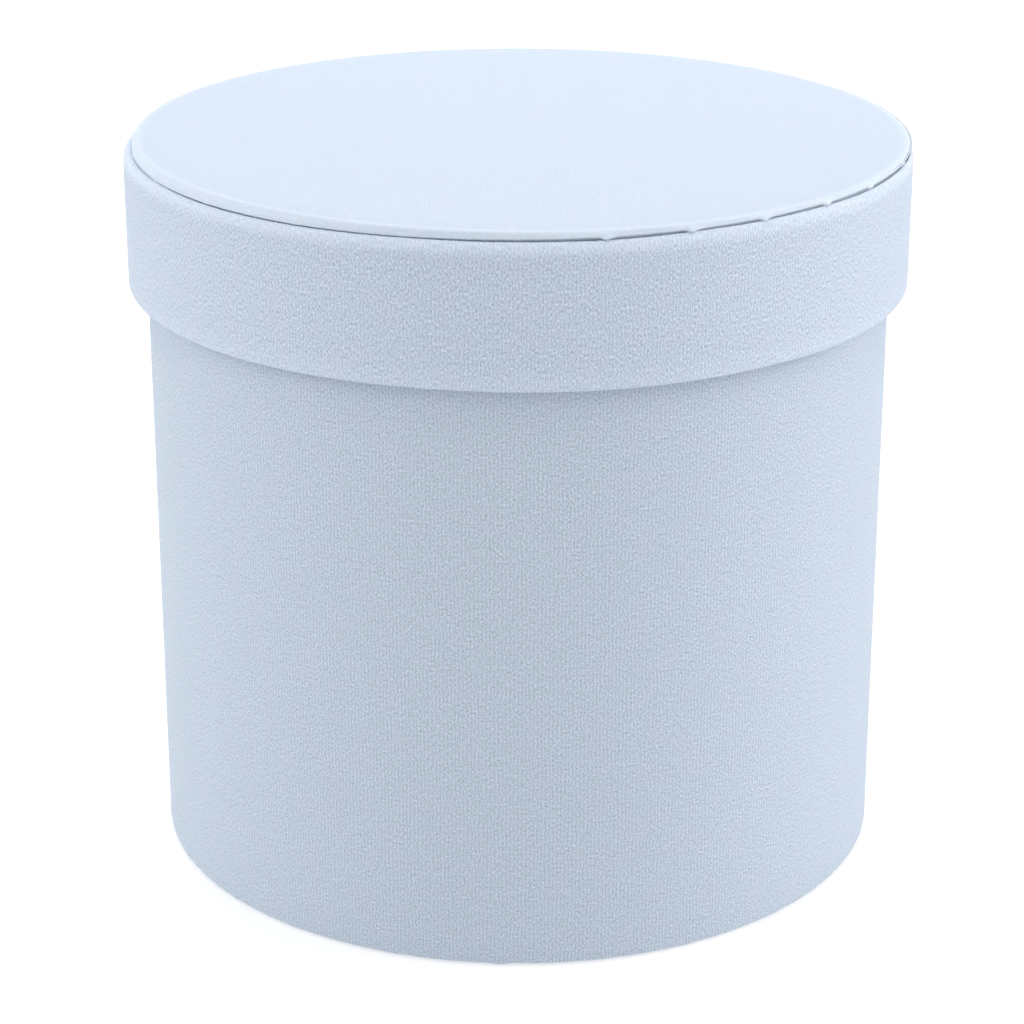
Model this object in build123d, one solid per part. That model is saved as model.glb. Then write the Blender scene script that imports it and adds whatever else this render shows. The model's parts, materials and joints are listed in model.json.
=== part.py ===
"""Round flower box covered in short-pile velvet: an upright board tube with a lift-off lid.

The body is a sheet of grey board rolled into a tube, closed by a board disc let into its foot. One
velvet wrap covers the outside and is turned in over the rim and under the foot. Card lines the wall
and the floor, and a paper disc hides the turned-under hem.

The lid is a rolled board ring with a velvet strip turned in at both edges, and a separately covered
board disc glued on top. An inner disc, let into the ring, ties the two together and sits on the rim.

Frame: +Z is up, and the origin is the centre of the foot, on the surface the box stands on. The
joints of all rolled sheets face +Y, the back. All sizes are in millimetres.
"""

import math
import os

from build123d import *

# ---------------------------------------------------------------- sheet materials
VELVET = 0.6  # backing and pile together
GLUE = 0.05  # adhesive film between bonded layers
TUBE_WALL = 2.0  # grey board of the body's tube
RING_WALL = 2.0  # grey board of the lid's ring
BASE_BOARD = 2.0
DISC_BOARD = 1.2  # board of the covered disc on top of the lid
INNER_DISC = 1.5
WALL_CARD = 0.5  # white lining card of the body
RING_PAPER = 0.3  # white lining paper of the lid's ring
FOOT_PAPER = 0.3  # paper disc under the foot
TAPE = 0.15  # gummed paper tape over the board joints

# ---------------------------------------------------------------- overall sizes
TUBE_BORE = 166.0
TUBE_HEIGHT = 163.5
RING_HEIGHT = 30.0

# ---------------------------------------------------------------- turned edges
RIM_TURN_IN = 16.0  # velvet turned into the tube at the rim
FOOT_TURN_IN = 12.0  # velvet turned under the foot, inside the tube's bore
RING_LOWER_TURN_IN = 10.0
RING_UPPER_TURN_IN = 8.0
DISC_TURN_IN = 14.0
RIM_ROUND = 1.2  # outside radius of the velvet over the tube's rim and foot
RING_TOP_ROUND = 1.6
RING_FOOT_ROUND = 1.4
DISC_ROUND = 1.2

# ---------------------------------------------------------------- lining and joints
LINER_DROP = 7.0  # the wall lining stops this far below the tube's rim
RING_LINER_DROP = 5.0  # the ring's lining stops this far above its lower edge
FOOT_PAPER_INSET = 4.0  # the paper disc stops this far inside the tube's bore
FOOT_PAPER_STEP = 1.5  # width of the slope where that paper climbs off the hem
BUTT_GAP = 0.4  # gap between the ends of a rolled sheet
TAPE_WIDTH = 24.0

# ---------------------------------------------------------------- clearances
BOARD_FIT = 0.1  # radial play of a disc let into a tube or ring
END_GAP = 0.2  # room left at the ends of linings and tapes
LID_CLEARANCE = 0.7  # radial gap between the lid's lining and the body's velvet
SEAT_GAP = 0.2  # the rim's pile holds the lid off by this much
DISC_SETBACK = 1.2  # the covered disc is this much smaller in radius than the ring
DISC_OFFSET = 0.8  # the covered disc is glued this far off the ring's axis, towards +X

# ---------------------------------------------------------------- radii, from the bore outwards
COVER = GLUE + VELVET  # thickness that a glued velvet layer adds
TUBE_IN = TUBE_BORE / 2
TUBE_OUT = TUBE_IN + TUBE_WALL
BODY_SKIN_IN = TUBE_IN - COVER
BODY_SKIN_OUT = TUBE_OUT + COVER
WALL_CARD_OUT = BODY_SKIN_IN - GLUE
WALL_CARD_IN = WALL_CARD_OUT - WALL_CARD
RING_PAPER_IN = BODY_SKIN_OUT + LID_CLEARANCE
RING_PAPER_OUT = RING_PAPER_IN + RING_PAPER
RING_SKIN_IN = RING_PAPER_OUT + GLUE
RING_IN = RING_SKIN_IN + COVER
RING_OUT = RING_IN + RING_WALL
RING_SKIN_OUT = RING_OUT + COVER
DISC_SKIN_OUT = RING_SKIN_OUT - DISC_SETBACK
DISC_OUT = DISC_SKIN_OUT - COVER

# ---------------------------------------------------------------- heights, from the foot up
HEM_BOTTOM = FOOT_PAPER + GLUE
HEM_TOP = HEM_BOTTOM + VELVET
TUBE_BOTTOM = HEM_TOP + GLUE
TUBE_TOP = TUBE_BOTTOM + TUBE_HEIGHT
BASE_TOP = TUBE_BOTTOM + BASE_BOARD
FLOOR_CARD_BOTTOM = BASE_TOP + GLUE
FLOOR_CARD_TOP = FLOOR_CARD_BOTTOM + WALL_CARD
RIM_TOP = TUBE_TOP + COVER
INNER_DISC_BOTTOM = RIM_TOP + SEAT_GAP
RING_SKIN_TOP = INNER_DISC_BOTTOM + INNER_DISC
RING_TOP = RING_SKIN_TOP - COVER
RING_BOTTOM = RING_TOP - RING_HEIGHT
RING_SKIN_BOTTOM = RING_BOTTOM - COVER
DISC_SKIN_BOTTOM = RING_SKIN_TOP + GLUE
DISC_BOTTOM = DISC_SKIN_BOTTOM + COVER
DISC_TOP = DISC_BOTTOM + DISC_BOARD
DISC_SKIN_TOP = DISC_TOP + COVER

# A rounded cover stays outside the square corner of its board while its radius is under this.
MOST_ROUND = COVER * math.sqrt(2) / (math.sqrt(2) - 1)


def panel(inner, outer, bottom, top):
    """A rectangle of the half section, in the XZ plane, between two radii and two heights."""
    middle = Location(((inner + outer) / 2, (bottom + top) / 2))
    return Plane.XZ * (middle * Rectangle(outer - inner, top - bottom))


def turned(section):
    """The solid that a half section sweeps in one turn about the box's axis."""
    return revolve(section, Axis.Z, 360)


def disc(radius, bottom, top):
    """A flat round sheet."""
    return turned(panel(0, radius, bottom, top))


def rounded(section, radius, height, at_radii):
    """The half section with its corners at this height and these radii rounded."""
    corners = [
        v
        for v in section.vertices()
        if abs(v.Z - height) < GLUE and any(abs(v.X - r) < GLUE for r in at_radii)
    ]
    width = section.bounding_box().size
    limit = 0.49 * min(width.X, width.Z)
    return fillet(corners, min(radius, MOST_ROUND, limit))


def rolled(inner, outer, bottom, top):
    """A sheet rolled into a tube, with the butt joint of its two ends at the back."""
    tube = turned(panel(inner, outer, bottom, top))
    reach = 2 * (outer - inner)
    place = Location((0, (inner + outer) / 2, (bottom + top) / 2))
    joint = place * Box(BUTT_GAP, reach, 2 * (top - bottom))
    return tube - joint


def joint_tape(wall, bottom, top):
    """Paper tape glued inside a rolled wall of this inner radius, across its butt joint."""
    outer = wall - GLUE
    ring = turned(panel(outer - TAPE, outer, bottom, top))
    place = Location((0, wall, (bottom + top) / 2))
    return ring & place * Box(TAPE_WIDTH, wall, 2 * (top - bottom))


# ---------------------------------------------------------------- body


def body_tube():
    """Grey board tube that carries the box."""
    return rolled(TUBE_IN, TUBE_OUT, TUBE_BOTTOM, TUBE_TOP)


def body_joint_tape():
    """Tape inside the tube, from the floor card up to the turned-in velvet."""
    bottom = FLOOR_CARD_TOP + END_GAP
    return joint_tape(TUBE_IN, bottom, TUBE_TOP - RIM_TURN_IN - END_GAP)


def body_velvet():
    """The body's velvet wrap: outside wall, turn-in over the rim and hem under the foot."""
    wall = panel(BODY_SKIN_IN, BODY_SKIN_OUT, HEM_BOTTOM, RIM_TOP)
    wall = rounded(wall, RIM_ROUND, RIM_TOP, [BODY_SKIN_IN, BODY_SKIN_OUT])
    wall = rounded(wall, RIM_ROUND, HEM_BOTTOM, [BODY_SKIN_OUT])
    board = panel(TUBE_IN - GLUE, TUBE_OUT + GLUE, HEM_TOP, TUBE_TOP + GLUE)
    bare_bore = panel(BODY_SKIN_IN - GLUE, TUBE_IN, HEM_TOP, TUBE_TOP - RIM_TURN_IN)
    hem = panel(TUBE_IN - FOOT_TURN_IN, TUBE_IN, HEM_BOTTOM, HEM_TOP)
    return turned(wall - board - bare_bore + hem)


def base_board():
    """Board disc let into the foot of the tube."""
    return disc(TUBE_IN - BOARD_FIT, TUBE_BOTTOM, BASE_TOP)


def foot_paper():
    """Paper disc under the foot: flat on the hem, and pressed up to the base board inside it."""
    hem_edge = TUBE_IN - FOOT_TURN_IN
    edge = TUBE_IN - FOOT_PAPER_INSET
    raised = HEM_TOP - FOOT_PAPER
    slope_out = hem_edge - END_GAP - FOOT_PAPER
    slope_in = slope_out - FOOT_PAPER_STEP
    outline = [
        (0, raised),
        (slope_in, raised),
        (slope_out, 0),
        (edge, 0),
        (edge, FOOT_PAPER),
        (slope_out, FOOT_PAPER),
        (slope_in, HEM_TOP),
        (0, HEM_TOP),
    ]
    return turned(Plane.XZ * make_face(Polyline(*outline, close=True)))


def floor_card():
    """White card disc on the base board, the floor of the box."""
    return disc(TUBE_IN - BOARD_FIT, FLOOR_CARD_BOTTOM, FLOOR_CARD_TOP)


def wall_card():
    """White card lining that stands on the floor card and covers the edge of the turned-in velvet."""
    return rolled(
        WALL_CARD_IN, WALL_CARD_OUT, FLOOR_CARD_TOP + GLUE, TUBE_TOP - LINER_DROP
    )


# ---------------------------------------------------------------- lid


def lid_ring():
    """Grey board ring of the lid."""
    return rolled(RING_IN, RING_OUT, RING_BOTTOM, RING_TOP)


def lid_ring_tape():
    """Tape inside the ring, between the two turned-in edges of its velvet."""
    bottom = RING_BOTTOM + RING_LOWER_TURN_IN + END_GAP
    top = RING_TOP - RING_UPPER_TURN_IN - END_GAP
    return joint_tape(RING_IN, bottom, top)


def lid_ring_velvet():
    """Velvet strip round the ring, turned in over its top and bottom edges."""
    wall = panel(RING_SKIN_IN, RING_SKIN_OUT, RING_SKIN_BOTTOM, RING_SKIN_TOP)
    sides = [RING_SKIN_IN, RING_SKIN_OUT]
    wall = rounded(wall, RING_TOP_ROUND, RING_SKIN_TOP, sides)
    wall = rounded(wall, RING_FOOT_ROUND, RING_SKIN_BOTTOM, sides)
    board = panel(RING_IN - GLUE, RING_OUT + GLUE, RING_BOTTOM - GLUE, RING_TOP + GLUE)
    bare_bore = panel(
        RING_SKIN_IN - GLUE,
        RING_IN,
        RING_BOTTOM + RING_LOWER_TURN_IN,
        RING_TOP - RING_UPPER_TURN_IN,
    )
    return turned(wall - board - bare_bore)


def lid_ring_paper():
    """White paper lining of the ring, from near its lower edge up to the inner disc."""
    bottom = RING_SKIN_BOTTOM + RING_LINER_DROP
    return rolled(RING_PAPER_IN, RING_PAPER_OUT, bottom, INNER_DISC_BOTTOM - END_GAP)


def lid_inner_disc():
    """White-faced board disc let into the ring, which rests on the body's rim."""
    return disc(RING_SKIN_IN - BOARD_FIT, INNER_DISC_BOTTOM, RING_SKIN_TOP)


def glued_on_top(shape):
    """A piece of the covered disc, moved to where the disc is glued on the ring."""
    return Location((DISC_OFFSET, 0, 0)) * shape


def lid_disc():
    """Board disc of the lid's top."""
    return glued_on_top(disc(DISC_OUT, DISC_BOTTOM, DISC_TOP))


def lid_disc_velvet():
    """Velvet stretched over the lid's disc and turned in under its edge."""
    slab = panel(0, DISC_SKIN_OUT, DISC_SKIN_BOTTOM, DISC_SKIN_TOP)
    slab = rounded(slab, DISC_ROUND, DISC_SKIN_TOP, [DISC_SKIN_OUT])
    slab = rounded(slab, DISC_ROUND, DISC_SKIN_BOTTOM, [DISC_SKIN_OUT])
    board = panel(0, DISC_OUT + GLUE, DISC_BOTTOM - GLUE, DISC_TOP + GLUE)
    bare_back = panel(0, DISC_OUT - DISC_TURN_IN, DISC_SKIN_BOTTOM - GLUE, DISC_BOTTOM)
    return glued_on_top(turned(slab - board - bare_back))


PIECES = {
    "body_tube": body_tube,
    "body_joint_tape": body_joint_tape,
    "body_velvet": body_velvet,
    "base_board": base_board,
    "foot_paper": foot_paper,
    "floor_card": floor_card,
    "wall_card": wall_card,
    "lid_ring": lid_ring,
    "lid_ring_tape": lid_ring_tape,
    "lid_ring_velvet": lid_ring_velvet,
    "lid_ring_paper": lid_ring_paper,
    "lid_inner_disc": lid_inner_disc,
    "lid_disc": lid_disc,
    "lid_disc_velvet": lid_disc_velvet,
}

os.makedirs("parts", exist_ok=True)
for node, make in PIECES.items():
    export_step(make(), f"parts/{node}.step")
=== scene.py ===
"""The looks of a round velvet flower box, built around its packed boards, linings and tapes.

Three velvet covers are cut, wrapped and tucked in: the wrap of the body, the strip of the lid's ring
and the cover of the disc on top. The boards, cards, papers and tapes keep their own shapes and get a
finish each. All lengths are in metres; MM turns millimetres into them.
"""

import json
import logging
import math
from dataclasses import dataclass, field
from enum import Enum
from typing import ClassVar

import bmesh
import bpy
from mathutils import Euler, Matrix, Vector, noise


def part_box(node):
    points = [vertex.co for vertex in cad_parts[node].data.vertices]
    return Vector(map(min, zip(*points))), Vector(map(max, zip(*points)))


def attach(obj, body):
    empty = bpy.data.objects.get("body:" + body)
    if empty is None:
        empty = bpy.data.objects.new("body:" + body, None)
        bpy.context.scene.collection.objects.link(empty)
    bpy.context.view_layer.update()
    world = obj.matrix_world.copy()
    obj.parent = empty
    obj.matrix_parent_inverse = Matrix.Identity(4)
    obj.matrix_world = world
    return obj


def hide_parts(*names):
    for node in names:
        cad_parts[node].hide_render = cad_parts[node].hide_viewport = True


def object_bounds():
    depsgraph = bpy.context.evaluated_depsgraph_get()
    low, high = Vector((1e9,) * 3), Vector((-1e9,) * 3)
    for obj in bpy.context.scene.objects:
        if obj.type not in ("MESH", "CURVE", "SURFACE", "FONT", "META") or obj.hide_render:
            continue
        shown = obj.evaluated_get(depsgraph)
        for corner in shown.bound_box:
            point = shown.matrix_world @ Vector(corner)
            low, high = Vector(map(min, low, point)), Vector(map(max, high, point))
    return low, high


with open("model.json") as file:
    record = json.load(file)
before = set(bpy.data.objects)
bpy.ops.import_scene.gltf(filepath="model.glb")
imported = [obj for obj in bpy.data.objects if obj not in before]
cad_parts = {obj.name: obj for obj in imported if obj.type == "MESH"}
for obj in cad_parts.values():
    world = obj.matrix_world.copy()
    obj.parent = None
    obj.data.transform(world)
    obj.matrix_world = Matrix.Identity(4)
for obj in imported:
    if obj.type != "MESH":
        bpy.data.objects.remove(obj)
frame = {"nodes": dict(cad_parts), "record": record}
CAD_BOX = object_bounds()
BOXES = {node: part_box(node) for node in frame["nodes"]}

log = logging.getLogger("flower_box")

MM = 0.001
MM_IN_A_METRE = 1000.0
BACK = math.pi / 2  # the angle of +Y, where the rolled boards have their joints
FRONT = -math.pi / 2

Colour = tuple[float, float, float]


class Slot(Enum):
    """The record's material slots."""

    VELVET = "velvet"
    GREY_BOARD = "grey_board"
    WHITE_CARD = "white_card"
    LINING_PAPER = "lining_paper"
    GUMMED_TAPE = "gummed_tape"


class Body(Enum):
    """The two rigid bodies of the box."""

    BOX = "box"
    LID = "lid"


class Coordinates(Enum):
    """What a finish's pattern follows."""

    CLOTH = "cloth"
    OBJECT = "object"


# ------------------------------------------------------------------ finishes


class Graph:
    """A material's node tree, with short words for the steps that every finish takes.

    Attributes:
        material: the material that is being made.
    """

    def __init__(self, name: str) -> None:
        """Starts a material with an empty node tree and a shader.

        Args:
            name: the material's name.
        """
        self.material = bpy.data.materials.new(name)
        self.material.use_nodes = True
        self.tree = self.material.node_tree
        self.tree.nodes.clear()
        self.shader = self.node("ShaderNodeBsdfPrincipled")
        output = self.node("ShaderNodeOutputMaterial")
        self.join(self.shader.outputs["BSDF"], output.inputs["Surface"])

    def node(self, kind: str, **settings: object) -> bpy.types.Node:
        """Adds a node.

        Args:
            kind: the node's type name.
            settings: values for the node's own properties.

        Returns:
            The new node.
        """
        made = self.tree.nodes.new(kind)
        for name, value in settings.items():
            setattr(made, name, value)
        return made

    def join(self, source: bpy.types.NodeSocket, target: bpy.types.NodeSocket) -> None:
        """Links two sockets."""
        self.tree.links.new(source, target)

    def set(self, socket: bpy.types.NodeSocket, value: object) -> None:
        """Links a socket to another, or gives it a constant.

        Args:
            socket: the input.
            value: another node's output, or the constant.
        """
        if isinstance(value, bpy.types.NodeSocket):
            self.join(value, socket)
        else:
            socket.default_value = value

    def coordinates(
        self, follow: Coordinates, scale: tuple[float, float, float]
    ) -> bpy.types.NodeSocket:
        """Gives the pattern's coordinates, in units of the pattern's own size.

        Args:
            follow: the cloth's flat plane, or the object's own space.
            scale: how many units a metre has along each axis.

        Returns:
            The scaled coordinates.
        """
        if follow is Coordinates.CLOTH:
            source = self.node("ShaderNodeUVMap", uv_map=follow.value).outputs["UV"]
        else:
            source = self.node("ShaderNodeTexCoord").outputs["Object"]
        mapping = self.node("ShaderNodeMapping")
        self.join(source, mapping.inputs["Vector"])
        mapping.inputs["Scale"].default_value = scale
        return mapping.outputs["Vector"]

    def noise(
        self,
        vector: bpy.types.NodeSocket,
        scale: float = 1.0,
        detail: float = 2.0,
        roughness: float = 0.5,
        flat: bool = False,
    ) -> bpy.types.NodeSocket:
        """Adds a noise texture.

        Args:
            vector: where it is read.
            scale: cells in a unit of the coordinates.
            detail: octaves.
            roughness: weight of each finer octave.
            flat: true for a pattern on the cloth's plane only.

        Returns:
            Its value, from 0 to 1.
        """
        made = self.node(
            "ShaderNodeTexNoise", noise_dimensions="2D" if flat else "3D"
        )
        self.join(vector, made.inputs["Vector"])
        made.inputs["Scale"].default_value = scale
        made.inputs["Detail"].default_value = detail
        made.inputs["Roughness"].default_value = roughness
        return made.outputs[0]

    def math(
        self, operation: str, first: object, second: object = 0.0, third: object = 0.0
    ) -> bpy.types.NodeSocket:
        """Adds a step of arithmetic.

        Args:
            operation: the Math node's operation.
            first: its first input, linked or constant.
            second: its second input.
            third: its third input.

        Returns:
            The result.
        """
        made = self.node("ShaderNodeMath", operation=operation)
        for socket, value in zip(made.inputs, (first, second, third)):
            self.set(socket, value)
        return made.outputs[0]

    def spread(
        self, value: bpy.types.NodeSocket, low: float, high: float
    ) -> bpy.types.NodeSocket:
        """Stretches the part of a value between two levels to the range 0 to 1.

        Args:
            value: the value.
            low: the level that becomes 0.
            high: the level that becomes 1.

        Returns:
            The stretched value, clamped.
        """
        made = self.node("ShaderNodeMapRange", interpolation_type="SMOOTHSTEP")
        self.join(value, made.inputs["Value"])
        made.inputs["From Min"].default_value = low
        made.inputs["From Max"].default_value = high
        return made.outputs["Result"]

    def blend(
        self, factor: object, first: object, second: object, mode: str = "MIX"
    ) -> bpy.types.NodeSocket:
        """Mixes two colours.

        Args:
            factor: how much of the second, linked or constant.
            first: a colour, linked or constant.
            second: a colour, linked or constant.
            mode: the blend type.

        Returns:
            The mixed colour.
        """
        made = self.node("ShaderNodeMix", data_type="RGBA", blend_type=mode)
        for index, value in ((0, factor), (6, first), (7, second)):
            if isinstance(value, tuple):
                value = (*value, 1.0)
            self.set(made.inputs[index], value)
        return made.outputs[2]

    def relief(self, height: bpy.types.NodeSocket, depth: float) -> None:
        """Turns a height into the shader's normal.

        Args:
            height: the height, from 0 to 1.
            depth: how deep that is, in metres.
        """
        bump = self.node("ShaderNodeBump")
        bump.inputs["Strength"].default_value = 1.0
        bump.inputs["Distance"].default_value = depth
        self.join(height, bump.inputs["Height"])
        self.join(bump.outputs["Normal"], self.shader.inputs["Normal"])


@dataclass(frozen=True)
class VelvetFinish:
    """Short cut pile in fine ribs, with a constant sheen.

    Attributes:
        name: the material's name.
        deep: colour between the ribs.
        tip: colour of the pile's tips.
        rib_mm: pitch of the ribs.
        tuft_mm: width and length of a tuft.
        cross_mm: pitch of the rows of loops across the ribs.
        highlight_folds_mm: distance from the cloth's first edge, half width and strength of each
            fold over an edge, where a paler colour is painted on as a highlight, standing in for the
            light that the opened pile catches.
        contrast: how far the tufts part from the middle colour.
        depth: depth of the pile's relief.
        rib_share: the ribs' share of the pattern.
        tuft_share: the tufts' share.
        grain_share: the single hairs' share.
        mauve: what tints the warmer patches.
        slate: what tints the cooler patches.
        fold_highlight: the paler colour painted over the folds as a highlight.
        round: true for a round cloth, whose distances are from its middle.
        sheen: how strong the pile's sheen is.
        sheen_roughness: how far the sheen spreads.
        sheen_tint: the sheen's colour.
    """

    WANDER: ClassVar[float] = 0.3  # cells in a millimetre, as are GRAIN and CLOUDS
    RIB_WANDER: ClassVar[float] = 0.9  # in pitches of the ribs
    ROW_WANDER: ClassVar[float] = 2.5  # in pitches of the rows
    GRAIN: ClassVar[float] = 5.0
    CLOUDS: ClassVar[float] = 0.15
    PILE_LEVELS: ClassVar[tuple[float, float]] = (0.25, 0.75)
    CLOUD_LEVELS: ClassVar[tuple[float, float]] = (0.35, 0.65)

    name: str
    deep: Colour = (0.371, 0.429, 0.514)
    tip: Colour = (0.71, 0.816, 0.965)
    rib_mm: float = 0.85
    cross_mm: float = 0.8
    tuft_mm: tuple[float, float] = (0.26, 0.58)
    highlight_folds_mm: tuple[tuple[float, float, float], ...] = ()
    contrast: float = 1.2
    depth: float = 0.2 * MM
    rib_share: float = 0.09
    tuft_share: float = 0.51
    grain_share: float = 0.4
    mauve: Colour = (1.015, 0.985, 1.0)
    slate: Colour = (0.985, 1.005, 1.0)
    fold_highlight: Colour = (0.82, 0.9, 1.0)
    round: bool = False
    sheen: float = 0.55
    sheen_roughness: float = 0.42
    sheen_tint: Colour = (0.86, 0.93, 1.0)

    def build(self) -> bpy.types.Material:
        """Makes the material.

        Returns:
            The velvet, patterned on its cloth's flat plane.
        """
        graph = Graph(self.name)
        plane = graph.coordinates(Coordinates.CLOTH, (MM_IN_A_METRE, MM_IN_A_METRE, 1.0))
        parts = graph.node("ShaderNodeSeparateXYZ")
        graph.join(plane, parts.inputs[0])
        across = parts.outputs["X"]

        wander = graph.noise(plane, scale=self.WANDER, detail=2.0, flat=True)
        drift = graph.math(
            "MULTIPLY_ADD", wander, self.RIB_WANDER * self.rib_mm, across
        )
        rib = self.wave(graph, drift, self.rib_mm)
        row = graph.math(
            "MULTIPLY_ADD", wander, self.ROW_WANDER * self.cross_mm, parts.outputs["Y"]
        )
        rows = self.wave(graph, row, self.cross_mm)
        loops = graph.math("MULTIPLY_ADD", rows, 0.5, 0.5)
        knit = graph.math("MULTIPLY", rib, loops)

        width, length = self.tuft_mm
        grid = graph.coordinates(
            Coordinates.CLOTH, (MM_IN_A_METRE / width, MM_IN_A_METRE / length, 1.0)
        )
        tuft = graph.noise(grid, scale=1.0, detail=1.0, roughness=0.6, flat=True)
        grain = graph.noise(plane, scale=self.GRAIN, detail=1.0, flat=True)
        ribs = graph.math("MULTIPLY", knit, self.rib_share)
        tufts = graph.math("MULTIPLY_ADD", tuft, self.tuft_share, ribs)
        pile = graph.math("MULTIPLY_ADD", grain, self.grain_share, tufts)
        level = graph.spread(pile, *self.PILE_LEVELS)
        centred = graph.math("SUBTRACT", level, 0.5)
        factor = graph.math("MULTIPLY_ADD", centred, self.contrast, 0.5)
        colour = graph.blend(factor, self.deep, self.tip)

        clouds = graph.noise(
            plane, scale=self.CLOUDS, detail=3.0, roughness=0.6, flat=True
        )
        hue = graph.blend(
            graph.spread(clouds, *self.CLOUD_LEVELS), self.mauve, self.slate
        )
        tinted = graph.blend(1.0, colour, hue, mode="MULTIPLY")
        # Painted highlight: bands over the folded edges are lightened towards a paler colour, as if
        # the opened pile caught more light.
        for place, half_width, strength in self.highlight_folds_mm:
            past = graph.math("SUBTRACT", self.out(graph, plane), place)
            away = graph.math("ABSOLUTE", past)
            near = graph.spread(graph.math("DIVIDE", away, -half_width), -1.0, 0.0)
            painted_highlight = graph.math("MULTIPLY", near, strength)
            tinted = graph.blend(painted_highlight, tinted, self.fold_highlight)
        graph.join(tinted, graph.shader.inputs["Base Color"])
        graph.relief(pile, self.depth)

        shader = graph.shader.inputs
        shader["Roughness"].default_value = 0.95
        shader["Specular IOR Level"].default_value = 0.08
        shader["Sheen Weight"].default_value = self.sheen
        shader["Sheen Roughness"].default_value = self.sheen_roughness
        shader["Sheen Tint"].default_value = (*self.sheen_tint, 1.0)
        return graph.material

    def out(
        self, graph: Graph, plane: bpy.types.NodeSocket
    ) -> bpy.types.NodeSocket:
        """Measures the distance from the cloth's first edge, or from its middle.

        Args:
            graph: the material's node tree.
            plane: the cloth's flat coordinates, in millimetres.

        Returns:
            The distance in millimetres.
        """
        if self.round:
            reach = graph.node("ShaderNodeVectorMath", operation="LENGTH")
            graph.join(plane, reach.inputs[0])
            return reach.outputs["Value"]
        parts = graph.node("ShaderNodeSeparateXYZ")
        graph.join(plane, parts.inputs[0])
        return parts.outputs["Y"]

    @staticmethod
    def wave(
        graph: Graph, along: bpy.types.NodeSocket, pitch: float
    ) -> bpy.types.NodeSocket:
        """Makes a row of soft ridges.

        Args:
            graph: the material's node tree.
            along: the distance across the ridges, in millimetres.
            pitch: the distance between two ridges, in millimetres.

        Returns:
            Their height, from 0 to 1.
        """
        turn = graph.math("MULTIPLY", along, math.tau / pitch)
        return graph.math("MULTIPLY_ADD", graph.math("SINE", turn), 0.5, 0.5)


@dataclass(frozen=True)
class FibreFinish:
    """Uncoated paper or board: matted fibres, a few darker ones, and a faint cloudiness.

    Attributes:
        name: the material's name.
        pulp: the main colour.
        shade: the colour of the darker clouds and fibres.
        fleck: the colour of the stray fibres.
        flecked: how much of the surface has stray fibres, from 0 to 1.
        roughness: the shader's roughness.
        gloss: the shader's specular level.
        depth: depth of the fibres' relief.
        stretch: how much longer the fibres are along Z.
    """

    CLOUDS: ClassVar[float] = 0.06  # cells in a millimetre, as are the next two
    FIBRES: ClassVar[float] = 0.9
    SPECKS: ClassVar[float] = 1.6

    name: str
    pulp: Colour
    shade: Colour
    fleck: Colour
    flecked: float = 0.3
    roughness: float = 0.85
    gloss: float = 0.3
    depth: float = 0.03 * MM
    stretch: float = 1.0

    def build(self) -> bpy.types.Material:
        """Makes the material.

        Returns:
            The paper or board, patterned in the object's own space.
        """
        graph = Graph(self.name)
        place = graph.coordinates(
            Coordinates.OBJECT,
            (MM_IN_A_METRE, MM_IN_A_METRE, MM_IN_A_METRE / self.stretch),
        )
        clouds = graph.noise(place, scale=self.CLOUDS, detail=5.0, roughness=0.65)
        fibres = graph.noise(place, scale=self.FIBRES, detail=4.0, roughness=0.7)
        specks = graph.noise(place, scale=self.SPECKS, detail=1.0, roughness=0.4)

        base = graph.blend(graph.spread(clouds, 0.3, 0.7), self.pulp, self.shade)
        worn = graph.blend(
            graph.math("MULTIPLY", graph.spread(fibres, 0.35, 0.75), 0.5),
            base,
            self.shade,
        )
        rare = graph.spread(specks, 0.74 - 0.08 * self.flecked, 0.84)
        colour = graph.blend(
            graph.math("MULTIPLY", rare, self.flecked), worn, self.fleck
        )
        graph.join(colour, graph.shader.inputs["Base Color"])
        graph.relief(fibres, self.depth)

        rough = graph.math("MULTIPLY_ADD", fibres, 0.1, self.roughness - 0.05)
        graph.join(rough, graph.shader.inputs["Roughness"])
        graph.shader.inputs["Specular IOR Level"].default_value = self.gloss
        return graph.material


BODY_VELVET = VelvetFinish(
    "velvet_of_the_body",
    deep=(0.369, 0.425, 0.497),
    tip=(0.677, 0.779, 0.912),
    contrast=1.25,
)
RING_VELVET = VelvetFinish(
    "velvet_of_the_ring",
    tuft_mm=(0.26, 0.68),
    rib_share=0.06,
    tuft_share=0.54,
    # The folds paint highlights on the ring's crown and, fainter and broader, further along the
    # cloth.
    highlight_folds_mm=((10.9, 2.7, 0.36), (40.5, 5.0, 0.1)),
)
DISC_VELVET = VelvetFinish(
    "velvet_of_the_disc",
    deep=(0.351, 0.41, 0.49),
    tip=(0.673, 0.775, 0.917),
    rib_share=0.05,
    contrast=0.4,
    depth=0.14 * MM,
    tuft_mm=(0.4, 0.5),
    # The fold paints a highlight round the disc's edge.
    highlight_folds_mm=((89.4, 3.8, 0.46),),
    round=True,
)
GREY_BOARD = FibreFinish(
    "grey_board",
    pulp=(0.36, 0.33, 0.29),
    shade=(0.27, 0.25, 0.22),
    fleck=(0.12, 0.11, 0.11),
    flecked=0.8,
)
WHITE_CARD = FibreFinish(
    "white_card",
    pulp=(0.84, 0.84, 0.82),
    shade=(0.8, 0.8, 0.78),
    fleck=(0.62, 0.61, 0.58),
    flecked=0.2,
)
LINING_PAPER = FibreFinish(
    "lining_paper",
    pulp=(0.86, 0.86, 0.85),
    shade=(0.82, 0.82, 0.81),
    fleck=(0.7, 0.69, 0.67),
    flecked=0.15,
    depth=0.02 * MM,
)
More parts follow.
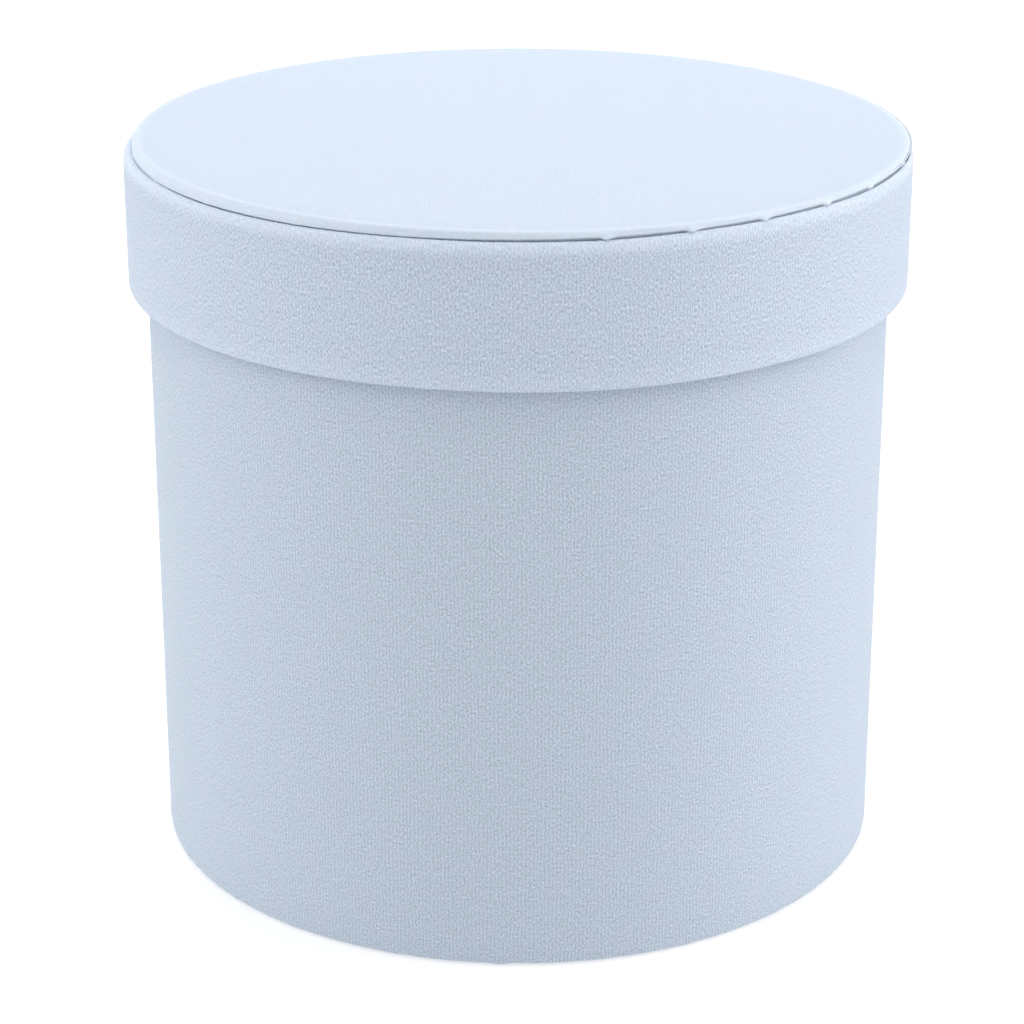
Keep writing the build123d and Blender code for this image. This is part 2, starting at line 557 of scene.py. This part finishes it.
GUMMED_TAPE = FibreFinish(
    "gummed_tape",
    pulp=(0.47, 0.31, 0.17),
    shade=(0.38, 0.24, 0.12),
    fleck=(0.25, 0.15, 0.07),
    flecked=0.4,
    roughness=0.5,
    gloss=0.5,
    stretch=4.0,
)


# ------------------------------------------------------------------ cloth


def smoothstep(value: float) -> float:
    """Eases a value between 0 and 1."""
    value = min(1.0, max(0.0, value))
    return value * value * (3.0 - 2.0 * value)


def bell(distance: float, width: float) -> float:
    """A bell curve of height 1 and of this half width."""
    return math.exp(-((distance / width) ** 2))


def turn_between(first: float, second: float) -> float:
    """The signed angle from the first direction to the second, within half a turn."""
    return (second - first + math.pi) % math.tau - math.pi


@dataclass(frozen=True)
class Corner:
    """A corner of a cover's half section.

    Attributes:
        radius: its distance from the axis.
        height: its height.
        rounding: how far it is rounded.
        cuts: how many rows of vertices the run after it has.
        segments: how many parts its rounding has.
    """

    radius: float
    height: float
    rounding: float = 0.0
    cuts: int = 0
    segments: int = 6


@dataclass
class Cover:
    """A cut piece of velvet that covers a board all round.

    Attributes:
        name: the piece's name.
        node: the plain solid that it stands for.
        body: the rigid body that it rides on.
        finish: its velvet.
        steps: columns of vertices in a full turn.
        thickness: backing and pile together.
        pile: how uneven the pile's surface is.
        length: the length of the half section, once it is rolled.
    """

    HAIRS: ClassVar[float] = 1900.0  # cells in a metre, as is SWELLS
    SWELLS: ClassVar[float] = 45.0
    SWELL_SHARE: ClassVar[float] = 0.8

    name: str
    node: str
    body: Body
    finish: VelvetFinish
    steps: int = 720
    thickness: float = 0.5 * MM
    pile: float = 0.05 * MM
    length: float = field(default=0.0, init=False)

    def corners(self) -> list[Corner]:
        """The half section's corners, from the cloth's first edge to its last."""
        raise NotImplementedError

    def section(self) -> list[Vector]:
        """Lays out the rounded and divided half section in the XZ plane.

        Returns:
            Its points, from the cloth's first edge to its last.
        """
        bm = bmesh.new()
        corners = self.corners()
        places = [Vector((corner.radius, 0.0, corner.height)) for corner in corners]
        points = [bm.verts.new(place) for place in places]
        runs = [bm.edges.new(pair) for pair in zip(points, points[1:])]
        for corner, run in zip(corners, runs):
            if corner.cuts:
                bmesh.ops.subdivide_edges(bm, edges=[run], cuts=corner.cuts)
        for corner, place in zip(corners, places):
            if corner.rounding:
                bmesh.ops.bevel(
                    bm,
                    geom=[self.nearest(bm, place)],
                    offset=corner.rounding,
                    offset_type="OFFSET",
                    segments=corner.segments,
                    profile=0.5,
                    affect="VERTICES",
                    material=-1,
                    clamp_overlap=False,
                )
        line = self.walk(self.nearest(bm, places[0]))
        bm.free()
        return line

    @staticmethod
    def nearest(bm: bmesh.types.BMesh, place: Vector) -> bmesh.types.BMVert:
        """The vertex nearest to a point."""
        return min(bm.verts, key=lambda vert: (vert.co - place).length_squared)

    @staticmethod
    def walk(first: bmesh.types.BMVert) -> list[Vector]:
        """Follows a wire from its end.

        Args:
            first: the vertex at the end.

        Returns:
            The wire's points in order.
        """
        line, here, last = [first.co.copy()], first, None
        while True:
            around = (edge.other_vert(here) for edge in here.link_edges)
            ahead = [vert for vert in around if vert is not last]
            if not ahead:
                return line
            last, here = here, ahead[0]
            line.append(here.co.copy())

    def roll(self, angle: float, start: float = 0.0) -> bmesh.types.BMesh:
        """Rolls a flat grid of cloth about the axis, along the half section.

        Args:
            angle: how far round it goes.
            start: the angle of its first end.

        Returns:
            The mesh, with each vertex's turn from the first end and its distance from the
            cloth's first edge in the layers of those names, and its flat place in the
            layer that the finish reads.
        """
        line = self.section()
        reach = [0.0]
        for before, after in zip(line, line[1:]):
            reach.append(reach[-1] + (after - before).length)
        self.length = reach[-1]
        rows = len(line) - 1
        bm = bmesh.new()
        turned = bm.verts.layers.float.new("turned")
        along = bm.verts.layers.float.new("along")
        columns = round(self.steps * angle / math.tau)
        bmesh.ops.create_grid(bm, x_segments=columns, y_segments=rows, size=0.5)
        for vert in bm.verts:
            row = round((vert.co.y + 0.5) * rows)
            vert[turned] = (vert.co.x + 0.5) * angle
            vert[along] = reach[row]
            vert.co = Matrix.Rotation(start + vert[turned], 3, "Z") @ line[row]
        plane = bm.loops.layers.uv.new(Coordinates.CLOTH.value)
        for face in bm.faces:
            for loop in face.loops:
                loop[plane].uv = self.flat_place(loop.vert[turned], loop.vert[along])
        self.face_out(bm)
        return bm

    def flat_place(self, turned: float, along: float) -> tuple[float, float]:
        """Where a point of the cover was on the cloth before it was laid on the board.

        Args:
            turned: the angle from the cloth's first end.
            along: the distance from the cloth's first edge.

        Returns:
            Its place on the flat cloth, in metres.
        """
        raise NotImplementedError

    @staticmethod
    def face_out(bm: bmesh.types.BMesh) -> None:
        """Points the pile side of every face away from the board.

        Args:
            bm: the rolled mesh.
        """
        bm.normal_update()
        wall = max(bm.faces, key=lambda face: face.calc_center_median().xy.length)
        if wall.normal.xy.dot(wall.calc_center_median().xy) < 0:
            bmesh.ops.reverse_faces(bm, faces=bm.faces[:])
        bm.normal_update()

    def settle(self, bm: bmesh.types.BMesh) -> bpy.types.Object:
        """Turns the finished mesh into a piece of the model.

        Args:
            bm: the cover's mesh. It is freed.

        Returns:
            The piece, with its thickness, finish and body.
        """
        mesh = bpy.data.meshes.new(self.name)
        bm.to_mesh(mesh)
        bm.free()
        mesh.polygons.foreach_set("use_smooth", [True] * len(mesh.polygons))
        piece = bpy.data.objects.new(self.name, mesh)
        bpy.context.scene.collection.objects.link(piece)
        mesh.materials.append(self.finish.build())
        backing = piece.modifiers.new("backing", "SOLIDIFY")
        backing.thickness = self.thickness
        backing.offset = -1.0
        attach(piece, self.body.value)
        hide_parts(self.node)
        return piece

    def roughen(self, vert: bmesh.types.BMVert, outward: Vector) -> None:
        """Moves a vertex a little, as uneven pile does.

        Args:
            vert: the vertex.
            outward: the direction that the pile stands in.
        """
        fine = noise.noise(vert.co * self.HAIRS)
        broad = noise.noise(vert.co * self.SWELLS)
        vert.co += outward * self.pile * (fine + self.SWELL_SHARE * broad)


@dataclass
class Wrap(Cover):
    """A strip that goes once round a wall, overlaps itself at the back and is turned in.

    Attributes:
        start: the angle of its first end.
        overlap: how far its last end lies over its first.
        lift: how far the overlap stands proud.
        sink: how far the end beneath is pressed in.
    """

    RISE_ANGLE: ClassVar[float] = 0.03
    SINK_ANGLE: ClassVar[float] = 0.02

    start: float = BACK
    overlap: float = 12.0 * MM
    lift: float = 0.28 * MM
    sink: float = 0.2 * MM

    def outer_radius(self) -> float:
        """The radius of the pile on the outside wall."""
        return BOXES[self.node][1].x

    def build(self) -> bpy.types.Object:
        """Wraps the cloth.

        Returns:
            The piece.
        """
        extra = self.overlap / self.outer_radius()
        bm = self.roll(math.tau + extra, self.start)
        turned = bm.verts.layers.float["turned"]
        along = bm.verts.layers.float["along"]
        outward = {vert: vert.normal.copy() for vert in bm.verts}
        for vert, normal in outward.items():
            self.shape(vert, normal, vert[turned], vert[along])
            self.roughen(vert, normal)
        piece = self.settle(bm)
        return piece

    def flat_place(self, turned: float, along: float) -> tuple[float, float]:
        """Where a point of the cover was on the cloth before it was laid on the board."""
        return turned * self.outer_radius(), along

    def rests_on(self) -> list[str]:
        """The boards that the cloth is glued to."""
        raise NotImplementedError

    def shape(
        self, vert: bmesh.types.BMVert, normal: Vector, turned: float, along: float
    ) -> None:
        """Moves a vertex to where the cloth lies on the real box.

        Args:
            vert: the vertex.
            normal: the direction that its pile stands in.
            turned: the angle from the cloth's first end.
            along: the distance from the cloth's first edge; not used.
        """
        over = smoothstep((turned - math.tau + self.RISE_ANGLE) / self.RISE_ANGLE)
        past = turned - self.overlap / self.outer_radius()
        under = 1.0 - smoothstep(past / self.SINK_ANGLE)
        vert.co += normal * (over * self.lift - under * self.sink)


@dataclass
class BodyWrap(Wrap):
    """The velvet of the body: down into the bore, over the rim, down the wall and under the foot.

    Attributes:
        turn_in: how deep it goes into the bore.
        hem: how far it goes under the foot, from the bore inwards.
        cover: what a glued layer of velvet adds to a radius.
        rim_round: rounding over the rim and round the foot.
        board_fit: play of the base board in the bore.
        tucks: angle from the front and strength of each tuck under the foot.
    """

    FLOOR_GAP: ClassVar[float] = 0.08 * MM
    FOOT_ZONE: ClassVar[float] = 5.0 * MM
    RIM_ZONE: ClassVar[float] = 4.0 * MM
    TUCK_REACH: ClassVar[float] = 9.0 * MM
    TUCK_WIDTH: ClassVar[float] = 1.6 * MM
    HOLLOW_AT: ClassVar[float] = 3.2 * MM
    HOLLOW_WIDTH: ClassVar[float] = 2.2 * MM
    HOLLOW_SHARE: ClassVar[float] = 0.45
    RIM_PRESS: ClassVar[float] = 0.06 * MM
    RIM_WAVES: ClassVar[float] = 120.0

    turn_in: float = 15.0 * MM
    hem: float = 12.0 * MM
    cover: float = 0.65 * MM
    rim_round: float = 1.2 * MM
    board_fit: float = 0.1 * MM
    tucks: tuple[tuple[float, float], ...] = ()

    def corners(self) -> list[Corner]:
        """The half section's corners, from the edge in the bore to the edge of the hem."""
        low, high = BOXES[self.node]
        bore = BOXES["base_board"][1].x + self.board_fit
        inside = bore - self.cover
        return [
            Corner(inside, high.z - self.turn_in, cuts=6),
            Corner(inside, high.z, self.rim_round, cuts=1),
            Corner(high.x, high.z, self.rim_round, cuts=22),
            Corner(high.x, low.z, self.rim_round, cuts=9),
            Corner(bore - self.hem, low.z),
        ]

    def rests_on(self) -> list[str]:
        """The boards that the cloth is glued to."""
        return ["body_tube", "base_board"]

    def shape(
        self, vert: bmesh.types.BMVert, normal: Vector, turned: float, along: float
    ) -> None:
        """Adds the tucks of the hem, which pucker the cloth round the foot.

        Args:
            vert: the vertex.
            normal: the direction that its pile stands in.
            turned: the angle from the cloth's first end.
            along: the distance from the cloth's first edge; not used.
        """
        low, high = BOXES[self.node]
        super().shape(vert, normal, turned, along)
        rise = vert.co.z - low.z
        if rise > self.FOOT_ZONE and high.z - vert.co.z > self.RIM_ZONE:
            return
        angle = math.atan2(vert.co.y, vert.co.x)
        if rise < self.FOOT_ZONE:
            near = 1.0 - smoothstep(rise / self.FOOT_ZONE)
            for place, strength in self.tucks:
                gap = turn_between(FRONT + math.radians(place), angle) * high.x
                if abs(gap) < self.TUCK_REACH:
                    hollow = bell(gap - self.HOLLOW_AT, self.HOLLOW_WIDTH)
                    ridge = bell(gap, self.TUCK_WIDTH) - self.HOLLOW_SHARE * hollow
                    vert.co += normal * near * strength * ridge
            vert.co.z = max(vert.co.z, self.FLOOR_GAP)
        else:
            press = self.RIM_PRESS * noise.noise(vert.co * self.RIM_WAVES)
            vert.co += normal * press


@dataclass
class RingWrap(Wrap):
    """The velvet of the lid's ring: over the top and round the lower edge into the bore.

    Attributes:
        upper_turn_in: how deep it goes into the bore from the top.
        lower_turn_in: how high it goes into the bore from the lower edge.
        top_round: rounding from the top into the bore and down to the wall.
        crown_rise: how far the pile that the disc doesn't press down stands up beside it.
        crown_lean: how much more it rises at +X, and less at -X.
        crown_close: how much more it rises at both sides than at the front and back.
        groove: how far under the disc's edge it starts to rise.
        foot_round: rounding round the lower edge.
        board_fit: play of the inner disc in the bore.
    """

    GROOVE_WIDTH: ClassVar[float] = 0.35 * MM
    WAVE_HEIGHT: ClassVar[float] = 0.18 * MM
    WAVES: ClassVar[float] = 22.0

    upper_turn_in: float = 8.6 * MM
    lower_turn_in: float = 10.6 * MM
    top_round: float = 1.6 * MM
    crown_rise: float = 0.6 * MM
    crown_lean: float = 0.75 * MM
    crown_close: float = 0.45 * MM
    groove: float = 0.55 * MM
    foot_round: float = 1.4 * MM
    board_fit: float = 0.1 * MM

    def corners(self) -> list[Corner]:
        """The half section's corners, from the upper edge in the bore to the lower one."""
        low, high = BOXES[self.node]
        inside = BOXES["lid_inner_disc"][1].x + self.board_fit
        return [
            Corner(inside, high.z - self.upper_turn_in, cuts=1),
            Corner(inside, high.z, self.top_round),
            Corner(high.x, high.z, self.top_round, cuts=8, segments=10),
            Corner(high.x, low.z, self.foot_round),
            Corner(inside, low.z, self.foot_round, cuts=2),
            Corner(inside, low.z + self.lower_turn_in),
        ]

    def rests_on(self) -> list[str]:
        """The boards that the cloth is glued to."""
        return ["lid_ring"]

    def shape(
        self, vert: bmesh.types.BMVert, normal: Vector, turned: float, along: float
    ) -> None:
        """Adds the pile that stands up round the disc, and the slight waves of the wall.

        Args:
            vert: the vertex.
            normal: the direction that its pile stands in.
            turned: the angle from the cloth's first end.
            along: the distance from the cloth's first edge; not used.
        """
        super().shape(vert, normal, turned, along)
        high = BOXES[self.node][1]
        disc_low, disc_high = BOXES["lid_disc_velvet"]
        middle = (disc_low + disc_high) / 2
        beside = (vert.co - middle).xy.length - (disc_high.x - disc_low.x) / 2
        share = min(1.0, max(0.0, 1.0 - (high.z - vert.co.z) / self.top_round))
        standing = smoothstep((beside + self.groove) / self.GROOVE_WIDTH)
        aside = vert.co.x / high.x
        full = self.crown_rise + self.crown_lean * aside + self.crown_close * aside**2
        rise = full * share * standing
        wave = noise.noise(Vector((vert.co.x, vert.co.y, 0.0)) * self.WAVES)
        vert.co.z += rise + self.WAVE_HEIGHT * wave


@dataclass
class DiscCover(Cover):
    """The velvet of the lid's disc: over the top, round the edge and pleated in beneath it.

    Attributes:
        turn_in: how far it goes in beneath the disc, from the edge.
        edge_round: rounding of the upper edge.
        pleats: angle from the front and strength of each pleat.
        bulge: how far a full pleat stands out of the edge.
        drop: how far a full pleat hangs below the edge.
        slack: how far the cloth draws in between two pleats.
        gape: how far the lower edge lifts before each pleat.
        side: height of the side that shows above the ring's pile.
        overhang: how far the side stands out over what is pressed into the ring.
        lean: how far the top drops towards +X, and rises towards -X.
        undercut_lean: how far the side's lower edge rises towards +X.
    """

    LIP_ROUND: ClassVar[float] = 0.2 * MM
    RIM_WIDTH: ClassVar[float] = 0.5 * MM
    RIM_START: ClassVar[float] = 2.2  # in widths of the rim, in from the edge
    FALL_FROM: ClassVar[float] = 0.93  # share of a run where its edge starts to come down
    FALL_OVER: ClassVar[float] = 0.07
    PLEAT_REACH: ClassVar[float] = 4.0 * MM
    STEEP_SIDE: ClassVar[float] = 0.7 * MM
    GENTLE_SIDE: ClassVar[float] = 1.5 * MM
    UPPER_SWELL: ClassVar[float] = 0.25
    SAME_TURN: ClassVar[float] = 0.001
    WELD: ClassVar[float] = 0.001 * MM

    turn_in: float = 14.6 * MM
    edge_round: float = 1.35 * MM
    pleats: tuple[tuple[float, float], ...] = ()
    bulge: float = 0.6 * MM
    drop: float = 0.3 * MM
    slack: float = 0.3 * MM
    gape: float = 0.1 * MM
    side: float = 1.6 * MM
    overhang: float = 0.5 * MM
    lean: float = 0.32 * MM
    undercut_lean: float = 0.7 * MM

    def radius(self) -> float:
        """The disc's radius, pile included."""
        low, high = BOXES[self.node]
        return (high.x - low.x) / 2

    def corners(self) -> list[Corner]:
        """The half section's corners, from the middle of the top to the edge beneath."""
        low, high = BOXES[self.node]
        radius = self.radius()
        return [
            Corner(0.0, high.z, cuts=7),
            Corner(radius, high.z, self.edge_round),
            Corner(radius, high.z - self.side, self.LIP_ROUND),
            Corner(radius - self.overhang, high.z - self.side),
            Corner(radius - self.overhang, low.z, cuts=2),
            Corner(radius - self.turn_in, low.z),
        ]

    def build(self) -> bpy.types.Object:
        """Stretches the cloth over the disc.

        Returns:
            The piece.
        """
        bm = self.roll(math.tau)
        turned = bm.verts.layers.float["turned"]
        along = bm.verts.layers.float["along"]
        ends = [
            vert
            for vert in bm.verts
            if vert[along] == 0.0
            or not self.SAME_TURN < vert[turned] < math.tau - self.SAME_TURN
        ]
        bmesh.ops.remove_doubles(bm, verts=ends, dist=self.WELD)
        bm.normal_update()
        outward = {vert: vert.normal.copy() for vert in bm.verts}
        for vert, normal in outward.items():
            self.shape(vert)
            self.roughen(vert, normal)
        low, high = BOXES[self.node]
        bmesh.ops.translate(bm, verts=bm.verts[:], vec=((low.x + high.x) / 2, 0.0, 0.0))
        piece = self.settle(bm)
        return piece

    def flat_place(self, turned: float, along: float) -> tuple[float, float]:
        """Where a point of the cover was on the cloth before it was laid on the board."""
        return along * math.cos(turned), along * math.sin(turned)

    def shape(self, vert: bmesh.types.BMVert) -> None:
        """Draws the edge in between the pleats and lets each pleat bulge and hang.

        Args:
            vert: the vertex.
        """
        high = BOXES[self.node][1]
        radius = self.radius()
        out = vert.co.xy.length
        upper = smoothstep((vert.co.z - high.z) / self.side + 1.0)
        rim = smoothstep((out - radius) / self.RIM_WIDTH + self.RIM_START)
        tilt = vert.co.x / radius
        vert.co.z += tilt * (self.undercut_lean * (1.0 - upper) * rim - self.lean * upper)
        if rim <= 0.0:
            return
        lower = 1.0 - upper
        place = math.degrees(turn_between(FRONT, math.atan2(vert.co.y, vert.co.x)))
        share, pull = self.between(place)
        edge = smoothstep((out - radius) / self.overhang + 1.0)
        draw = -self.slack * pull * 4.0 * share * (1.0 - share) * edge
        back = smoothstep((share - self.FALL_FROM) / self.FALL_OVER)
        lift = self.gape * pull * share * share * (1.0 - back)
        fall = 0.0
        for centre, strength in self.pleats:
            gap = math.radians((place - centre + 180.0) % 360.0 - 180.0) * radius
            if abs(gap) < self.PLEAT_REACH:
                width = self.STEEP_SIDE if gap < 0 else self.GENTLE_SIDE
                swell = strength * bell(gap, width)
                below = self.UPPER_SWELL + (1.0 - self.UPPER_SWELL) * lower
                draw += self.bulge * swell * rim * below
                fall += self.drop * swell * rim * lower
        direction = Vector((*vert.co.xy, 0.0)).normalized()
        vert.co += direction * draw
        vert.co.z += lift * rim * lower - fall

    def between(self, place: float) -> tuple[float, float]:
        """Finds where an angle lies between two pleats.

        Args:
            place: the angle from the front, in degrees.

        Returns:
            The share of the way to the next pleat, and that pleat's strength.
        """
        ordered = sorted(self.pleats)
        for (first, _), (after, strength) in zip(
            ordered, [*ordered[1:], (ordered[0][0] + 360.0, ordered[0][1])]
        ):
            for turn in (place, place + 360.0):
                if first <= turn < after:
                    return (turn - first) / (after - first), strength
        return 0.0, 0.0


# ------------------------------------------------------------------ boards and linings


@dataclass
class Carcass:
    """The boards, cards, papers and tapes, which keep their own shapes.

    Attributes:
        finishes: the finish of each material slot.
    """

    finishes: dict[Slot, FibreFinish]

    def dress(self) -> list[bpy.types.Object]:
        """Gives every shown solid the finish of its slot.

        Returns:
            The dressed solids.
        """
        made = {slot: finish.build() for slot, finish in self.finishes.items()}
        rows = frame["record"]["subparts"]
        slots = {row["node"]: Slot(row["material_slot"]) for row in rows}
        dressed = []
        for node, solid in frame["nodes"].items():
            if slots[node] in made:
                solid.data.materials.clear()
                solid.data.materials.append(made[slots[node]])
                dressed.append(solid)
        return dressed


# ------------------------------------------------------------------ studio


@dataclass(frozen=True)
class SoftBox:
    """A large square lamp that faces the box.

    Attributes:
        name: the lamp's name.
        azimuth: its direction from the front, towards +X, in degrees.
        elevation: its height above the horizon, in degrees.
        distance: how far it is from the box.
        size: the length of its sides.
        power: its power in watts.
    """

    name: str
    azimuth: float
    elevation: float
    distance: float
    size: float
    power: float

    def place(self, target: Vector) -> None:
        """Hangs the lamp.

        Args:
            target: the point that it faces.
        """
        lamp = bpy.data.lights.new(self.name, "AREA")
        lamp.shape = "SQUARE"
        lamp.size = self.size
        lamp.energy = self.power
        stand = bpy.data.objects.new(self.name, lamp)
        around, above = math.radians(self.azimuth), math.radians(self.elevation)
        away = Vector(
            (
                math.sin(around) * math.cos(above),
                -math.cos(around) * math.cos(above),
                math.sin(above),
            )
        )
        stand.location = target + away * self.distance
        stand.rotation_euler = away.to_track_quat("Z", "Y").to_euler()
        stand.visible_camera = False
        bpy.context.scene.collection.objects.link(stand)


@dataclass
class Studio:
    """The camera, the lamps, the pale floor and the even light all round.

    Attributes:
        lamps: the soft boxes.
        ambient: strength of the even light.
        floor_radius: radius of the floor.
        camera_back: the camera's distance in front of the axis.
        camera_up: its height above the floor.
        pitch: how far it looks down, in degrees.
        yaw: how far it looks to the left, in degrees.
        lens: its focal length in millimetres.
    """

    lamps: tuple[SoftBox, ...]
    ambient: float = 0.1
    floor_radius: float = 1.6
    camera_back: float = 677.6 * MM
    camera_up: float = 332.6 * MM
    pitch: float = 20.77
    yaw: float = 0.12
    lens: float = 106.2

    def build(self) -> None:
        """Sets the scene up."""
        scene = bpy.context.scene
        scene.view_settings.view_transform = "Standard"
        self.aim_camera(scene)
        self.lay_floor(scene)
        self.light_world(scene)
        low, high = CAD_BOX
        for lamp in self.lamps:
            lamp.place((low + high) / 2)

    def aim_camera(self, scene: bpy.types.Scene) -> None:
        """Makes the camera.

        Args:
            scene: the scene that looks through it.
        """
        lens = bpy.data.cameras.new("camera")
        lens.lens = self.lens
        lens.sensor_width = 36.0
        lens.clip_start, lens.clip_end = 0.01, 50.0
        camera = bpy.data.objects.new("camera", lens)
        camera.location = (0.0, -self.camera_back, self.camera_up)
        tilt = math.radians(90.0 - self.pitch)
        camera.rotation_euler = Euler((tilt, 0.0, math.radians(self.yaw)), "XYZ")
        scene.collection.objects.link(camera)
        scene.camera = camera

    def lay_floor(self, scene: bpy.types.Scene) -> None:
        """Makes the plain pale floor.

        Args:
            scene: the scene that it goes in.
        """
        bm = bmesh.new()
        bmesh.ops.create_circle(bm, cap_ends=True, radius=self.floor_radius, segments=96)
        mesh = bpy.data.meshes.new("floor")
        bm.to_mesh(mesh)
        bm.free()
        floor = bpy.data.objects.new("floor", mesh)
        graph = Graph("white_sweep")
        graph.shader.inputs["Base Color"].default_value = (0.55, 0.55, 0.55, 1.0)
        graph.shader.inputs["Roughness"].default_value = 0.9
        graph.shader.inputs["Specular IOR Level"].default_value = 0.1
        graph.shader.inputs["Emission Color"].default_value = (1.0, 1.0, 1.0, 1.0)
        graph.shader.inputs["Emission Strength"].default_value = 0.5
        mesh.materials.append(graph.material)
        scene.collection.objects.link(floor)

    def light_world(self, scene: bpy.types.Scene) -> None:
        """Makes the even light all round, with a white backdrop behind the floor.

        Args:
            scene: the scene that it lights.
        """
        world = bpy.data.worlds.new("studio")
        world.use_nodes = True
        sky = world.node_tree.nodes["Background"]
        sky.inputs["Color"].default_value = (1.0, 1.0, 1.0, 1.0)
        rays = world.node_tree.nodes.new("ShaderNodeLightPath")
        strength = world.node_tree.nodes.new("ShaderNodeMath")
        strength.operation = "MULTIPLY_ADD"
        world.node_tree.links.new(rays.outputs["Is Camera Ray"], strength.inputs[0])
        strength.inputs[1].default_value = 1.0 - self.ambient
        strength.inputs[2].default_value = self.ambient
        world.node_tree.links.new(strength.outputs[0], sky.inputs["Strength"])
        scene.world = world


# ------------------------------------------------------------------ the box

DISC_PLEATS = (
    (-176.0, 0.7), (-163.0, 0.5), (-149.0, 0.6), (-136.0, 0.5), (-121.0, 0.4),
    (-108.0, 0.5), (-93.0, 0.35), (-79.0, 0.3), (-64.0, 0.25), (-49.0, 0.15),
    (-32.0, 0.15), (11.0, 0.9), (22.8, 1.0), (34.2, 1.1),
    (46.0, 1.0), (57.0, 0.8), (71.0, 0.5), (83.0, 0.25), (95.0, 0.25),
    (108.0, 0.5), (120.0, 0.8), (133.0, 0.6), (146.0, 0.7), (159.0, 0.6),
    (171.0, 0.6),
)
HEM_TUCKS = tuple(
    (place, 0.1 * MM)
    for place in (
        -171.0, -157.0, -140.0, -126.0, -111.0, -95.0, -82.0, -66.0, -50.0, -37.0,
        -19.0, 13.0, 27.0, 44.0, 59.0, 75.0, 90.0, 104.0, 121.0, 138.0, 152.0,
        166.0,
    )
) + ((-2.5, 0.28 * MM),)
LAMPS = (
    SoftBox("overhead", 0.0, 88.0, 1.6, 1.6, 11.4),
    SoftBox("left_side", -95.0, 18.0, 1.5, 1.2, 9.9),
    SoftBox("right_side", 95.0, 18.0, 1.5, 1.2, 16.0),
    SoftBox("back", 180.0, 35.0, 1.6, 1.4, 17.9),
    SoftBox("front", -10.0, 35.0, 1.8, 1.2, 8.4),
    SoftBox("front_high", 0.0, 60.0, 1.8, 1.2, 2.7),
    SoftBox("right_high", 60.0, 45.0, 1.8, 1.2, 2.9),
    SoftBox("left_high", -60.0, 45.0, 1.8, 1.2, 2.0),
    SoftBox("left_back", -130.0, 15.0, 1.5, 1.2, 2.2),
)


def main() -> None:
    """Builds the box's covers, dresses its boards and sets the studio up."""
    Studio(LAMPS).build()
    covers: list[Cover] = [
        BodyWrap(
            "body_wrap", "body_velvet", Body.BOX, BODY_VELVET,
            start=BACK + math.radians(7.0), tucks=HEM_TUCKS,
        ),
        RingWrap(
            "ring_wrap", "lid_ring_velvet", Body.LID, RING_VELVET,
            steps=980, start=BACK - math.radians(9.0),
        ),
        DiscCover(
            "disc_cover", "lid_disc_velvet", Body.LID, DISC_VELVET,
            steps=1260, thickness=0.4 * MM, pleats=DISC_PLEATS,
        ),
    ]
    for cover in covers:
        piece = cover.build()
        log.info("%s: %d faces", piece.name, len(piece.data.polygons))
    carcass = Carcass(
        {
            Slot.GREY_BOARD: GREY_BOARD,
            Slot.WHITE_CARD: WHITE_CARD,
            Slot.LINING_PAPER: LINING_PAPER,
            Slot.GUMMED_TAPE: GUMMED_TAPE,
        }
    )
    for solid in carcass.dress():
        log.info("%s: %s", solid.name, solid.data.materials[0].name)


if __name__ == "__main__":
    logging.basicConfig(level=logging.INFO, format="%(name)s: %(message)s")
    main()
